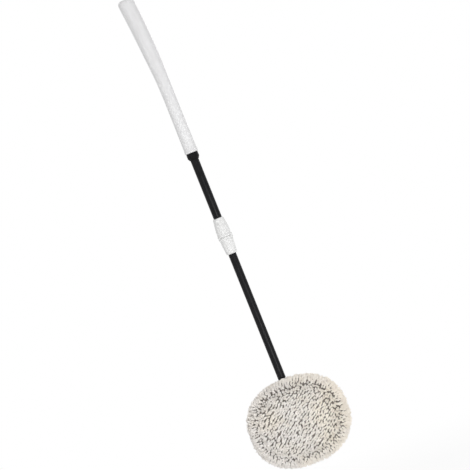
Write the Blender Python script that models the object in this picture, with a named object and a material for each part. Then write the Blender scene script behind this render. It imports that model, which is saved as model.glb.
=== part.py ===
"""A telescopic car wash brush: a moulded grip, a two-tube pole with a twist lock, and an oval
cotton-pile head that tilts on a bolted clevis. It hangs along Z from the grip's end face,
which is the origin, with the pile facing -Y. Lengths are in metres."""

import math

import bmesh
import bpy
from mathutils import Matrix, Vector

# Clearances and the one overrun that every cut uses
SEAT_GAP = 0.0003
SLIDE_GAP = 0.0002
CUT_OVER = 0.002
MERGE_WITHIN = 0.000003
EDGE_ROUND = 0.001
SHARP_ANGLE = math.radians(35)

# Facets round the turned pieces
TUBE_SIDES = 28
PIN_SIDES = 14
RIVET_SIDES = 12
WASHER_SIDES = 16
SCREW_SIDES = 8
SCREW_HOLE_SIDES = 12
NUT_SIDES = 6
FLUTE_SIDES = 8
CORNER_STEPS = 5
ROUND_END_STEPS = 12

# Pole tubes
UPPER_TUBE_R = 0.0095
TUBE_WALL = 0.0004
UPPER_TUBE_TOP = 0.074
LOWER_TUBE_INSIDE = 0.19

# Grip: radii and sway are taken at stations down its length
GRIP_LENGTH = 0.3668
GRIP_END_R = 0.0183
GRIP_NECK_R = 0.0140
GRIP_FOOT_R = 0.0147
GRIP_SWAY = 0.0125
GRIP_END_ROUND = 0.0100
GRIP_SIDES = 28
GRIP_BLEND_SHARES = ((0.048, 1.0, 0.9), (0.12, 0.93, 0.7), (0.218, 0.83, 0.49), (0.29, 0.75, 0.34),
                     (0.364, 0.63, 0.21), (0.43, 0.42, 0.12), (0.51, 0.16, 0.05), (0.58, 0.04, 0.01))
GRIP_LOWER_SHARES = ((0.656, 0.0), (0.802, 0.16), (0.92, 0.6))
GRIP_LIP_R = 0.0152
GRIP_LIP_LENGTH = 0.007

# Ring below the grip
RING_R = 0.0134
RING_LENGTH = 0.0157
RING_CHAMFER = 0.0035

# Twist lock: the body is fixed to the upper tube, and the nut turns on the body's nose
LOCK_TOP = 0.522
LOCK_BODY_LENGTH = 0.044
LOCK_BODY_TOP_R = 0.0122
LOCK_BODY_WAIST_R = 0.0152
LOCK_LIP_R = 0.0169
LOCK_LIP_LENGTH = 0.0045
LOCK_TUBE_SEAT = 0.024
LOCK_NOSE_R = 0.0119
LOCK_NOSE_LENGTH = 0.014
NUT_LENGTH = 0.0395
NUT_TOP_R = 0.0165
NUT_LIP_LENGTH = 0.0045
NUT_SHOULDER_R = 0.0145
NUT_END_R = 0.0124
NUT_END_ROUND = 0.002
COLLET_LENGTH = 0.012
COLLET_END_R = 0.0108
COLLET_SLIT = 0.003
FLUTES = 12
FLUTE_R = 0.0015
FLUTE_SINK = 0.0011
FLUTE_LOW_GAP = 0.002
FLUTE_HIGH_GAP = 0.004
LOCK_SIDES = 36

# Plugs in the tubes' ends
PLUG_HEAD_LENGTH = 0.008
PLUG_STEM_LENGTH = 0.018
PLUG_BORE_R = 0.004

# Socket that carries the head, with its tongue round the pivot
PIVOT_DROP = 1.0
TONGUE_R = 0.009
TONGUE_WIDTH = 0.010
SOCKET_R = 0.0118
SOCKET_MOUTH_R = 0.0108
SOCKET_FOOT = 0.0155
SOCKET_TUBE_SEAT = 0.024
SOCKET_TOP = 0.062
SOCKET_RIB_COUNT = 6
SOCKET_RIB_WIDTH = 0.0024
SOCKET_RIB_PROUD = 0.0012
SOCKET_RIB_LENGTH = 0.026
SOCKET_SIDES = 32
RIVET_R = 0.002
RIVET_HEAD_R = 0.0038
RIVET_HEAD_LENGTH = 0.0016
RIVET_HEIGHT = 0.050
ROUND_HEAD_SHARE = 0.6

# Clevis bracket and its fasteners
PIVOT_TO_PLATE = 0.020
BRACKET_WIDTH = 0.058
BRACKET_HEIGHT = 0.046
BRACKET_CORNER = 0.008
BRACKET_THICK = 0.003
EAR_THICK = 0.004
EAR_FOOT_WIDTH = 0.030
EAR_GUSSET_REACH = 0.009
EAR_GUSSET_THICK = 0.003
BOLT_R = 0.003
BOLT_HEAD_R = 0.0055
BOLT_HEAD_LENGTH = 0.0042
BOLT_STAND_OUT = 0.002
BOLT_CHAMFER = 0.0008
BOLT_CROWN_SHARE = 0.7
NUT_ACROSS_R = 0.0056
PIVOT_NUT_LENGTH = 0.005
WASHER_R = 0.0072
WASHER_THICK = 0.001
SCREW_R = 0.0018
SCREW_HEAD_R = 0.0036
SCREW_HEAD_LENGTH = 0.0022
SCREW_TIP_SHORT = 0.0006
SCREW_SPACING_X = 0.042
SCREW_SPACING_Z = 0.030

# Head: the backing's widest outline, an oval that its power makes squarer, and the rest as insets from it
HEAD_HALF_WIDTH = 0.1045
HEAD_HALF_HEIGHT = 0.0895
OVAL_POWER = 2.33
OVAL_SIDES = 44
PLATE_INSET = 0.006
PLATE_THICK = 0.0035
PLATE_RING_WIDTH = 0.0025
PLATE_RIB_COUNT = 16
PLATE_RIB_HEIGHT = 0.003
PLATE_RIB_THICK = 0.0022
PLATE_RIB_START = 0.040
PLATE_RIB_LOW_SHARE = 0.33
PLATE_RING_INSET = 0.036
ROLL_WIDTH = 0.0115
ROLL_DEPTH = 0.0113
ROLL_SETBACK = 0.0075
CLOTH_THICK = 0.002
SEAM_ANGLE = math.radians(124)
BACK_ANGLE = math.radians(-40)
ROLL_STEPS = 6
FACE_CROWN = 0.0035
FACE_SECTION_SHARES = (1.0, 0.72, 0.36)
SKIRT_INSET = 0.026
SKIRT_THICK = 0.0012
HEM_R = 0.0034
HEM_STEPS = 4
HEM_END_ANGLE = math.radians(198)
ELASTIC_R = 0.0016
ELASTIC_SIDES = 5

# Pile strands: three-sided, leaning one way on the face and outwards on the side band
FACE_STRANDS = 156
BAND_ROWS = 4
BAND_STRANDS_IN_ROW = 44
STRAND_LENGTH = 0.0105
STRAND_R = 0.0031
STRAND_TIP_SHARE = 0.8
STRAND_SIDES = 3
STRAND_SINK = 0.0012
STRAND_EDGE_GAP = 0.0055
FACE_LEAN = math.radians(38)
FACE_LEAN_HEADING = math.radians(-143)
FACE_LEAN_FADE_POWER = 4
BAND_FIRST_ANGLE = math.radians(-16)
BAND_LAST_ANGLE = math.radians(96)
BAND_COMB_SHARE = 0.5
GOLDEN_TURN = math.pi * (3 - math.sqrt(5))

# Places that follow from the sizes above
UPPER_TUBE_BORE_R = UPPER_TUBE_R - TUBE_WALL
LOWER_TUBE_R = UPPER_TUBE_BORE_R - SLIDE_GAP
LOWER_TUBE_BORE_R = LOWER_TUBE_R - TUBE_WALL
GRIP_BORE_TOP = UPPER_TUBE_TOP - PLUG_BORE_R - SEAT_GAP
LOCK_SEAM = LOCK_TOP + LOCK_BODY_LENGTH
UPPER_TUBE_END = LOCK_TOP + LOCK_TUBE_SEAT - SEAT_GAP
LOWER_TUBE_TOP = UPPER_TUBE_END - LOWER_TUBE_INSIDE
LOWER_TUBE_END = PIVOT_DROP - SOCKET_TUBE_SEAT - SEAT_GAP
RUNNING_BORE_R = LOWER_TUBE_R + SEAT_GAP
EAR_INNER = TONGUE_WIDTH / 2 + SEAT_GAP
EAR_OUTER = EAR_INNER + EAR_THICK
PLATE_BACK = -PIVOT_TO_PLATE - SEAT_GAP
PLATE_FRONT = PLATE_BACK - PLATE_THICK
ROLL_CENTRE = PLATE_BACK - ROLL_SETBACK
FACE_INSET = ROLL_WIDTH * (1 - math.cos(SEAM_ANGLE)) + SEAT_GAP
FACE_EDGE = ROLL_CENTRE - ROLL_DEPTH * math.sin(SEAM_ANGLE)


def clear_scene():
    for old in list(bpy.data.objects):
        bpy.data.objects.remove(old, do_unlink=True)


def finish(name, colour, roughness, metallic=0.0):
    """A Principled material."""
    made = bpy.data.materials.new(name)
    made.use_nodes = True
    shader = made.node_tree.nodes["Principled BSDF"]
    shader.inputs["Base Color"].default_value = (*colour, 1.0)
    shader.inputs["Roughness"].default_value = roughness
    shader.inputs["Metallic"].default_value = metallic
    return made


def frame_at(name, place, parent=None):
    """An empty on a joint's axis, which the pieces of one body hang from."""
    empty = bpy.data.objects.new(name, None)
    empty.location = place
    empty.parent = parent
    bpy.context.scene.collection.objects.link(empty)
    return empty


def piece(name, bm, material, parent, cutter=False):
    """The bmesh as a named object under its body's empty."""
    bmesh.ops.recalc_face_normals(bm, faces=bm.faces)
    mesh = bpy.data.meshes.new(name)
    bm.to_mesh(mesh)
    bm.free()
    mesh.shade_smooth()
    mesh.set_sharp_from_angle(angle=SHARP_ANGLE)
    made = bpy.data.objects.new(name, mesh)
    made.parent = parent
    if material:
        mesh.materials.append(material)
    if cutter:
        made.hide_render = True
        made.display_type = "WIRE"
    bpy.context.scene.collection.objects.link(made)
    return made


def boolean(target, other, operation="DIFFERENCE"):
    modifier = target.modifiers.new(other.name, "BOOLEAN")
    modifier.operation = operation
    modifier.solver = "EXACT"
    modifier.object = other


def turned(profile, sides):
    """A solid turned about Z from a closed outline of (radius, height) points."""
    bm = bmesh.new()
    corners = [bm.verts.new((radius, 0, height)) for radius, height in profile]
    edges = [bm.edges.new((a, b)) for a, b in zip(corners, corners[1:] + corners[:1]) if a.co.x or b.co.x]
    bmesh.ops.spin(bm, geom=corners + edges, cent=(0, 0, 0), axis=(0, 0, 1), angle=math.tau,
                   steps=sides, use_merge=True)
    bmesh.ops.remove_doubles(bm, verts=bm.verts, dist=MERGE_WITHIN)
    return bm


def tube(outer, inner, low, high, sides):
    return turned(((inner, low), (outer, low), (outer, high), (inner, high)), sides)


def rod(radius, low, high, sides):
    """A plain round bar along Z, closed at both ends."""
    bm = bmesh.new()
    middle = Matrix.Translation((0, 0, (low + high) / 2))
    bmesh.ops.create_cone(bm, cap_ends=True, segments=sides, radius1=radius, radius2=radius,
                          depth=high - low, matrix=middle)
    return bm


def block(low, high):
    """A box between two corners."""
    bm = bmesh.new()
    bmesh.ops.create_cube(bm, size=1)
    for vert in bm.verts:
        vert.co = Vector(h if c > 0 else l for c, l, h in zip(vert.co, low, high))
    return bm


def extruded(outline, axis, low, high):
    """A flat outline of two-number points pushed along one axis, 0 for X or 1 for Y."""
    bm = bmesh.new()

    def place(point, level):
        return (level, point[0], point[1]) if axis == 0 else (point[0], level, point[1])

    face = bm.faces.new([bm.verts.new(place(point, low)) for point in outline])
    pushed = bmesh.ops.extrude_face_region(bm, geom=[face])["geom"]
    step = Vector(place((0, 0), high - low))
    bmesh.ops.translate(bm, vec=step, verts=[v for v in pushed if isinstance(v, bmesh.types.BMVert)])
    return bm


def arc(centre, radius, start, end, steps):
    """Points of a circle's arc, ends included."""
    angles = [start + (end - start) * k / steps for k in range(steps + 1)]
    return [(centre[0] + radius * math.cos(a), centre[1] + radius * math.sin(a)) for a in angles]


def along_x(bm):
    """Lays a shape that was made along Z along X."""
    bmesh.ops.rotate(bm, verts=bm.verts, cent=(0, 0, 0), matrix=Matrix.Rotation(math.pi / 2, 3, "Y"))
    return bm


def along_y(bm):
    """Lays a shape that was made along Z along -Y."""
    bmesh.ops.rotate(bm, verts=bm.verts, cent=(0, 0, 0), matrix=Matrix.Rotation(math.pi / 2, 3, "X"))
    return bm


def moved(bm, place):
    bmesh.ops.translate(bm, verts=bm.verts, vec=place)
    return bm


def merged(parts):
    """Several bmeshes as one, for a cutter of many separate solids."""
    whole = bmesh.new()
    for bm in parts:
        scrap = bpy.data.meshes.new("scrap")
        bm.to_mesh(scrap)
        bm.free()
        whole.from_mesh(scrap)
        bpy.data.meshes.remove(scrap)
    return whole


def oval_point(turn, inset):
    """(x, z) on the head's squarish oval, drawn in by the inset."""
    across, up = math.cos(turn), math.sin(turn)
    reach = (abs(across) ** OVAL_POWER + abs(up) ** OVAL_POWER) ** (-1 / OVAL_POWER)
    return (HEAD_HALF_WIDTH - inset) * across * reach, (HEAD_HALF_HEIGHT - inset) * up * reach


def oval_away(turn, inset):
    """The direction in the oval's plane that leads straight out of it."""
    across, up = math.cos(turn), math.sin(turn)
    x = math.copysign(abs(across) ** (OVAL_POWER - 1), across) / (HEAD_HALF_WIDTH - inset)
    z = math.copysign(abs(up) ** (OVAL_POWER - 1), up) / (HEAD_HALF_HEIGHT - inset)
    return Vector((x, 0, z)).normalized()


def oval_loop(bm, inset, depth):
    """A ring of vertices on the head's oval, drawn in by the inset, at one depth along Y."""
    loop = []
    for k in range(OVAL_SIDES):
        x, z = oval_point(math.tau * k / OVAL_SIDES, inset)
        loop.append(bm.verts.new((x, depth, z)))
    return loop


def skinned(bm, loops, closed):
    """Bridges a list of equal vertex rings, and joins the last to the first if closed."""
    pairs = list(zip(loops, loops[1:] + loops[:1])) if closed else list(zip(loops, loops[1:]))
    for first, second in pairs:
        for k in range(len(first)):
            after = (k + 1) % len(first)
            bm.faces.new((first[k], first[after], second[after], second[k]))
    if not closed:
        bm.faces.new(loops[0])
        bm.faces.new(loops[-1])


def oval_ring(profile):
    """A closed ring whose section is an outline of (inset, depth) points."""
    bm = bmesh.new()
    skinned(bm, [oval_loop(bm, inset, depth) for inset, depth in profile], closed=True)
    return bm


def oval_disc(profile):
    """A closed pad whose side follows (inset, depth) points, with a flat oval at each end."""
    bm = bmesh.new()
    skinned(bm, [oval_loop(bm, inset, depth) for inset, depth in profile], closed=False)
    return bm


def grip_stations():
    """(drop, radius, sway) down the grip, from its rounded end to its foot."""
    corner = GRIP_END_R - GRIP_END_ROUND
    first_down, _, first_sway = GRIP_BLEND_SHARES[0]
    lean = (1 - first_sway) / (first_down * GRIP_LENGTH)
    stations = []
    for radius, drop in arc((corner, GRIP_END_ROUND), GRIP_END_ROUND, -math.pi / 2, 0, CORNER_STEPS):
        stations.append((drop, radius, GRIP_SWAY * (1 - lean * drop)))
    for down, swell, sway in GRIP_BLEND_SHARES:
        radius = GRIP_NECK_R + (GRIP_END_R - GRIP_NECK_R) * swell
        stations.append((GRIP_LENGTH * down, radius, GRIP_SWAY * sway))
    for down, swell in GRIP_LOWER_SHARES:
        radius = GRIP_NECK_R + (GRIP_FOOT_R - GRIP_NECK_R) * swell
        stations.append((GRIP_LENGTH * down, radius, 0))
    lip_top = GRIP_LENGTH - GRIP_LIP_LENGTH
    stations.append((lip_top - EDGE_ROUND, GRIP_FOOT_R, 0))
    stations.append((lip_top, GRIP_LIP_R, 0))
    stations.append((GRIP_LENGTH - EDGE_ROUND, GRIP_LIP_R, 0))
    stations.append((GRIP_LENGTH, GRIP_LIP_R - EDGE_ROUND, 0))
    return stations


def make_grip(material, parent):
    """The grip: round sections lofted along a line that sways to -X near its end."""
    bm = bmesh.new()
    loops = []
    turns = [math.tau * k / GRIP_SIDES for k in range(GRIP_SIDES)]
    for drop, radius, sway in grip_stations():
        rim = [Vector((radius * math.cos(a) - sway, radius * math.sin(a), -drop)) for a in turns]
        loops.append([bm.verts.new(point) for point in rim])
    skinned(bm, loops, closed=False)
    grip = piece("grip", bm, material, parent)
    bore = rod(UPPER_TUBE_R + SEAT_GAP, -GRIP_LENGTH - CUT_OVER, -GRIP_BORE_TOP, TUBE_SIDES)
    boolean(grip, piece("grip_bore", bore, None, parent, cutter=True))


def make_grip_ring(material, parent):
    """The ring under the grip, chamfered down to the tube."""
    top = -GRIP_LENGTH - SEAT_GAP
    low = top - RING_LENGTH
    bore = UPPER_TUBE_R + SEAT_GAP
    outline = ((bore, low), (RING_R - RING_CHAMFER + EDGE_ROUND, low),
               (RING_R - EDGE_ROUND, low + RING_CHAMFER), (RING_R, low + RING_CHAMFER + EDGE_ROUND),
               (RING_R, top - EDGE_ROUND), (RING_R - EDGE_ROUND, top), (bore, top))
    piece("grip_ring", turned(outline, TUBE_SIDES), material, parent)


def plug(outer, stem, head_low, head_high, stem_low):
    """A hollow end plug: a head that the tube's end butts on, and a stem inside the tube."""
    outline = ((PLUG_BORE_R, stem_low), (stem, stem_low), (stem, head_low), (outer, head_low),
               (outer, head_high), (PLUG_BORE_R, head_high))
    return turned(outline, TUBE_SIDES)


def make_upper_tube(tube_finish, plug_finish, parent):
    outer = tube(UPPER_TUBE_R, UPPER_TUBE_BORE_R, -UPPER_TUBE_END, -UPPER_TUBE_TOP, TUBE_SIDES)
    piece("upper_tube", outer, tube_finish, parent)
    head_low = -UPPER_TUBE_TOP + SEAT_GAP
    head_high = -GRIP_BORE_TOP - SEAT_GAP
    stem = UPPER_TUBE_BORE_R - SEAT_GAP
    top_plug = plug(UPPER_TUBE_R, stem, head_low, head_high, head_low - PLUG_STEM_LENGTH)
    piece("upper_tube_plug", top_plug, plug_finish, parent)


def fluted(target, low, high, low_radius, high_radius, parent):
    """Cuts shallow axial grooves round a tapered collar."""
    grooves = []
    slope = math.atan2(high_radius - low_radius, high - low)
    length = (high - low) / math.cos(slope)
    for k in range(FLUTES):
        groove = rod(FLUTE_R, -length / 2, length / 2, FLUTE_SIDES)
        bmesh.ops.rotate(groove, verts=groove.verts, cent=(0, 0, 0), matrix=Matrix.Rotation(slope, 3, "Y"))
        middle = (low_radius + high_radius) / 2 + FLUTE_R - FLUTE_SINK
        moved(groove, (middle, 0, (low + high) / 2))
        turn = Matrix.Rotation(math.tau * k / FLUTES, 3, "Z")
        bmesh.ops.rotate(groove, verts=groove.verts, cent=(0, 0, 0), matrix=turn)
        grooves.append(groove)
    boolean(target, piece(target.name + "_flutes", merged(grooves), None, parent, cutter=True))


def make_lock_body(material, parent):
    """The lock's fixed half: a seat for the upper tube above, a nose for the nut below."""
    top = -LOCK_TOP
    seam = -LOCK_SEAM
    lip = seam + LOCK_LIP_LENGTH
    waist = (top + lip) / 2
    seat = top - LOCK_TUBE_SEAT
    tube_seat_r = UPPER_TUBE_R + SEAT_GAP
    nose = seam - LOCK_NOSE_LENGTH
    outline = ((RUNNING_BORE_R, nose), (LOCK_NOSE_R - EDGE_ROUND, nose),
               (LOCK_NOSE_R, nose + EDGE_ROUND),
               (LOCK_NOSE_R, seam), (LOCK_LIP_R - EDGE_ROUND, seam), (LOCK_LIP_R, seam + EDGE_ROUND),
               (LOCK_LIP_R, lip), (LOCK_LIP_R - EDGE_ROUND, lip + EDGE_ROUND),
               ((LOCK_BODY_WAIST_R + LOCK_LIP_R) / 2, (waist + lip) / 2),
               (LOCK_BODY_WAIST_R, waist), (LOCK_BODY_TOP_R, top - EDGE_ROUND),
               (LOCK_BODY_TOP_R - EDGE_ROUND, top), (tube_seat_r, top), (tube_seat_r, seat),
               (RUNNING_BORE_R, seat))
    body = piece("lock_body", turned(outline, LOCK_SIDES), material, parent)
    fluted(body, lip + FLUTE_LOW_GAP, top - FLUTE_HIGH_GAP, LOCK_LIP_R - EDGE_ROUND,
           LOCK_BODY_WAIST_R - EDGE_ROUND, parent)


def make_lock_collet(material, parent):
    """The split taper ring that the nut squeezes on to the lower tube."""
    top = -LOCK_SEAM - LOCK_NOSE_LENGTH - SEAT_GAP
    low = top - COLLET_LENGTH
    outline = ((RUNNING_BORE_R, low), (COLLET_END_R, low), (LOCK_NOSE_R, top - EDGE_ROUND),
               (LOCK_NOSE_R, top), (RUNNING_BORE_R, top))
    collet = piece("lock_collet", turned(outline, TUBE_SIDES), material, parent)
    slit = block((0, -COLLET_SLIT / 2, low - CUT_OVER),
                 (LOCK_NOSE_R + CUT_OVER, COLLET_SLIT / 2, top + CUT_OVER))
    boolean(collet, piece("collet_slit", slit, None, parent, cutter=True))


def make_lock_nut(material, parent):
    """The lock's turning half: a bore over the nose, a cone over the collet. The parent is at the seam."""
    top = -SEAT_GAP
    low = top - NUT_LENGTH
    cone_top = -LOCK_NOSE_LENGTH - SEAT_GAP
    cone_low = cone_top - COLLET_LENGTH - SEAT_GAP * 2
    nose_bore = LOCK_NOSE_R + SEAT_GAP
    shoulder = top - NUT_LIP_LENGTH - EDGE_ROUND
    outline = ((RUNNING_BORE_R, low), (NUT_END_R - NUT_END_ROUND, low), (NUT_END_R, low + NUT_END_ROUND),
               (NUT_SHOULDER_R, shoulder - NUT_LENGTH / 3), (NUT_SHOULDER_R + EDGE_ROUND / 2, shoulder),
               (NUT_TOP_R, top - NUT_LIP_LENGTH), (NUT_TOP_R, top - EDGE_ROUND),
               (NUT_TOP_R - EDGE_ROUND, top),
               (nose_bore, top), (nose_bore, cone_top - EDGE_ROUND), (COLLET_END_R + SEAT_GAP, cone_low),
               (RUNNING_BORE_R, cone_low))
    nut = piece("lock_nut", turned(outline, LOCK_SIDES), material, parent)
    fluted(nut, low + FLUTE_HIGH_GAP, shoulder - EDGE_ROUND, NUT_END_R + EDGE_ROUND, NUT_SHOULDER_R, parent)


def make_lower_tube(tube_finish, plug_finish, parent):
    """The sliding tube and its guide plug. The parent is at the lock's seam, on the pole's axis."""
    top = LOCK_SEAM - LOWER_TUBE_TOP
    low = LOCK_SEAM - LOWER_TUBE_END
    inner = tube(LOWER_TUBE_R, LOWER_TUBE_BORE_R, low, top, TUBE_SIDES)
    lower = piece("lower_tube", inner, tube_finish, parent)
    hole = along_x(rod(RIVET_R + SEAT_GAP, -SOCKET_R, SOCKET_R, RIVET_SIDES))
    moved(hole, (0, 0, socket_level(RIVET_HEIGHT)))
    boolean(lower, piece("tube_rivet_hole", hole, None, parent, cutter=True))
    stem = LOWER_TUBE_BORE_R - SEAT_GAP
    guide_low = top + SEAT_GAP
    guide = plug(LOWER_TUBE_R, stem, guide_low, guide_low + PLUG_HEAD_LENGTH, guide_low - PLUG_STEM_LENGTH)
    piece("guide_plug", guide, plug_finish, parent)


def socket_level(height):
    """A height above the pivot, in the sliding body's frame."""
    return LOCK_SEAM - PIVOT_DROP + height


def make_head_socket(material, parent):
    """The moulded socket: a sleeve over the tube with ribs, run down to a round-ended tongue."""
    foot = socket_level(SOCKET_FOOT)
    mouth = socket_level(SOCKET_TOP)
    neck = socket_level((TONGUE_R + SOCKET_FOOT) / 2 + SEAT_GAP)
    seat = socket_level(SOCKET_TUBE_SEAT)
    bore = LOWER_TUBE_R + SEAT_GAP
    outline = ((0, neck), (TONGUE_WIDTH / 2, neck), (SOCKET_R, foot + EDGE_ROUND * 2), (SOCKET_R, seat),
               (SOCKET_MOUTH_R, mouth - EDGE_ROUND), (SOCKET_MOUTH_R - EDGE_ROUND / 2, mouth), (bore, mouth),
               (bore, seat), (0, seat))
    socket = piece("head_socket", turned(outline, SOCKET_SIDES), material, parent)
    centre = socket_level(0)
    shoulder = socket_level(SOCKET_FOOT + EDGE_ROUND)
    round_end = arc((0, centre), TONGUE_R, math.pi, math.tau, ROUND_END_STEPS)
    tongue_outline = [*round_end, (TONGUE_R, shoulder), (-TONGUE_R, shoulder)]
    tongue = extruded(tongue_outline, 0, -TONGUE_WIDTH / 2, TONGUE_WIDTH / 2)
    boolean(socket, piece("socket_tongue", tongue, None, parent, cutter=True), "UNION")
    ribs = []
    for k in range(SOCKET_RIB_COUNT):
        rib = block(((bore + SOCKET_MOUTH_R) / 2, -SOCKET_RIB_WIDTH / 2, foot + EDGE_ROUND * 3),
                    (SOCKET_R + SOCKET_RIB_PROUD, SOCKET_RIB_WIDTH / 2, foot + SOCKET_RIB_LENGTH))
        for vert in rib.verts:
            if vert.co.x > SOCKET_R and vert.co.z > foot + SOCKET_RIB_LENGTH / 2:
                vert.co.x = SOCKET_MOUTH_R
        turn = Matrix.Rotation(math.tau * (k + 0.5) / SOCKET_RIB_COUNT, 3, "Z")
        bmesh.ops.rotate(rib, verts=rib.verts, cent=(0, 0, 0), matrix=turn)
        ribs.append(rib)
    boolean(socket, piece("socket_ribs", merged(ribs), None, parent, cutter=True), "UNION")
    pivot = moved(along_x(rod(BOLT_R + SEAT_GAP, -SOCKET_R, SOCKET_R, PIN_SIDES)), (0, 0, centre))
    reach = SOCKET_R + SOCKET_RIB_PROUD + CUT_OVER
    rivet = along_x(rod(RIVET_R + SEAT_GAP, -reach, reach, RIVET_SIDES))
    moved(rivet, (0, 0, socket_level(RIVET_HEIGHT)))
    boolean(socket, piece("socket_pivot_bore", pivot, None, parent, cutter=True))
    boolean(socket, piece("socket_rivet_hole", rivet, None, parent, cutter=True))


def make_socket_rivet(material, parent):
    """A rivet through the sleeve and both walls of the tube, along X."""
    seat = SOCKET_R + SEAT_GAP
    crown_r = RIVET_HEAD_R * ROUND_HEAD_SHARE
    outline = [(0, -seat - RIVET_HEAD_LENGTH), (crown_r, -seat - RIVET_HEAD_LENGTH), (RIVET_HEAD_R, -seat),
               (RIVET_R, -seat), (RIVET_R, seat), (RIVET_HEAD_R, seat),
               (crown_r, seat + RIVET_HEAD_LENGTH), (0, seat + RIVET_HEAD_LENGTH)]
    rivet = moved(along_x(turned(outline, RIVET_SIDES)), (0, 0, socket_level(RIVET_HEIGHT)))
    piece("socket_rivet", rivet, material, parent)


def make_bracket(material, parent):
    """The clevis: a rounded base plate with two ears and their gussets. The parent is at the pivot."""
    back = -PIVOT_TO_PLATE + BRACKET_THICK
    half_x = BRACKET_WIDTH / 2 - BRACKET_CORNER
    half_z = BRACKET_HEIGHT / 2 - BRACKET_CORNER
    outline = []
    for sign_x, sign_z, start in ((1, 1, 0), (-1, 1, 1), (-1, -1, 2), (1, -1, 3)):
        first = start * math.pi / 2
        centre = (sign_x * half_x, sign_z * half_z)
        outline += arc(centre, BRACKET_CORNER, first, first + math.pi / 2, CORNER_STEPS)
    bracket = piece("head_bracket", extruded(outline, 1, -PIVOT_TO_PLATE, back), material, parent)
    sunk = back - BRACKET_THICK / 2
    half_foot = EAR_FOOT_WIDTH / 2
    ears = []
    for side in (-1, 1):
        lean = math.asin(TONGUE_R / math.hypot(PIVOT_TO_PLATE, half_foot))
        top = arc((0, 0), TONGUE_R, -lean, math.pi + lean, ROUND_END_STEPS)
        shape = [(sunk, -half_foot), *[(y, -x) for x, y in top], (sunk, half_foot)]
        low, high = sorted((side * EAR_INNER, side * EAR_OUTER))
        ears.append(extruded(shape, 0, low, high))
    boolean(bracket, piece("bracket_ears", merged(ears), None, parent, cutter=True), "UNION")
    gussets = []
    for side in (-1, 1):
        root = side * (EAR_OUTER - EAR_THICK / 2)
        reach = side * (EAR_OUTER + EAR_GUSSET_REACH)
        gusset = bmesh.new()
        corners = ((root, sunk), (reach, sunk), (reach, back), (root, -TONGUE_R - BOLT_R))
        low = [gusset.verts.new((x, y, -EAR_GUSSET_THICK / 2)) for x, y in corners]
        high = [gusset.verts.new((x, y, EAR_GUSSET_THICK / 2)) for x, y in corners]
        skinned(gusset, [low, high], closed=False)
        bmesh.ops.recalc_face_normals(gusset, faces=gusset.faces)
        gussets.append(gusset)
    boolean(bracket, piece("bracket_gussets", merged(gussets), None, parent, cutter=True), "UNION")
    cuts = [along_x(rod(BOLT_R + SEAT_GAP, -EAR_OUTER - CUT_OVER, EAR_OUTER + CUT_OVER, PIN_SIDES))]
    for place in screw_places():
        hole = along_y(rod(SCREW_R + SEAT_GAP, -CUT_OVER, BRACKET_THICK + CUT_OVER, SCREW_HOLE_SIDES))
        cuts.append(moved(hole, (place[0], back, place[1])))
    boolean(bracket, piece("bracket_holes", merged(cuts), None, parent, cutter=True))


def screw_places():
    half_x = SCREW_SPACING_X / 2
    half_z = SCREW_SPACING_Z / 2
    return [(x, z) for x in (-half_x, half_x) for z in (-half_z, half_z)]


def make_pivot_fasteners(material, parent):
    """The bolt, its nut and two washers, outside the ears on the tilt axis."""
    seat = EAR_OUTER + SEAT_GAP
    stack = seat + WASHER_THICK + SEAT_GAP
    end = stack + PIVOT_NUT_LENGTH + BOLT_STAND_OUT
    head_end = -stack - BOLT_HEAD_LENGTH
    outline = [(0, head_end), (BOLT_HEAD_R * BOLT_CROWN_SHARE, head_end),
               (BOLT_HEAD_R, (head_end - stack) / 2),
               (BOLT_HEAD_R, -stack), (BOLT_R, -stack), (BOLT_R, end - BOLT_CHAMFER),
               (BOLT_R - BOLT_CHAMFER, end), (0, end)]
    piece("pivot_bolt", along_x(turned(outline, PIN_SIDES)), material, parent)
    for name, side in (("pivot_washer_left", -1), ("pivot_washer_right", 1)):
        low, high = sorted((side * seat, side * (seat + WASHER_THICK)))
        washer = along_x(tube(WASHER_R, BOLT_R + SEAT_GAP, low, high, WASHER_SIDES))
        piece(name, washer, material, parent)
    hexagon = along_x(rod(NUT_ACROSS_R, stack, stack + PIVOT_NUT_LENGTH, NUT_SIDES))
    nut = piece("pivot_nut", hexagon, material, parent)
    bore = along_x(rod(BOLT_R + SEAT_GAP, stack - CUT_OVER, end + CUT_OVER, PIN_SIDES))
    boolean(nut, piece("pivot_nut_bore", bore, None, parent, cutter=True))


def make_bracket_screws(material, parent):
    """Pan-head screws through the bracket's base into the plate."""
    seat = -PIVOT_TO_PLATE + BRACKET_THICK + SEAT_GAP
    head = SCREW_HEAD_LENGTH
    length = seat - PLATE_FRONT - SCREW_TIP_SHORT
    outline = [(0, -head), (SCREW_HEAD_R * ROUND_HEAD_SHARE, -head),
               (SCREW_HEAD_R, -head / 3), (SCREW_HEAD_R, 0),
               (SCREW_R, 0), (SCREW_R, length), (0, length)]
    for k, (x, z) in enumerate(screw_places()):
        screw = moved(along_y(turned(outline, SCREW_SIDES)), (x, seat, z))
        piece(f"bracket_screw_{k + 1}", screw, material, parent)


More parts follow.
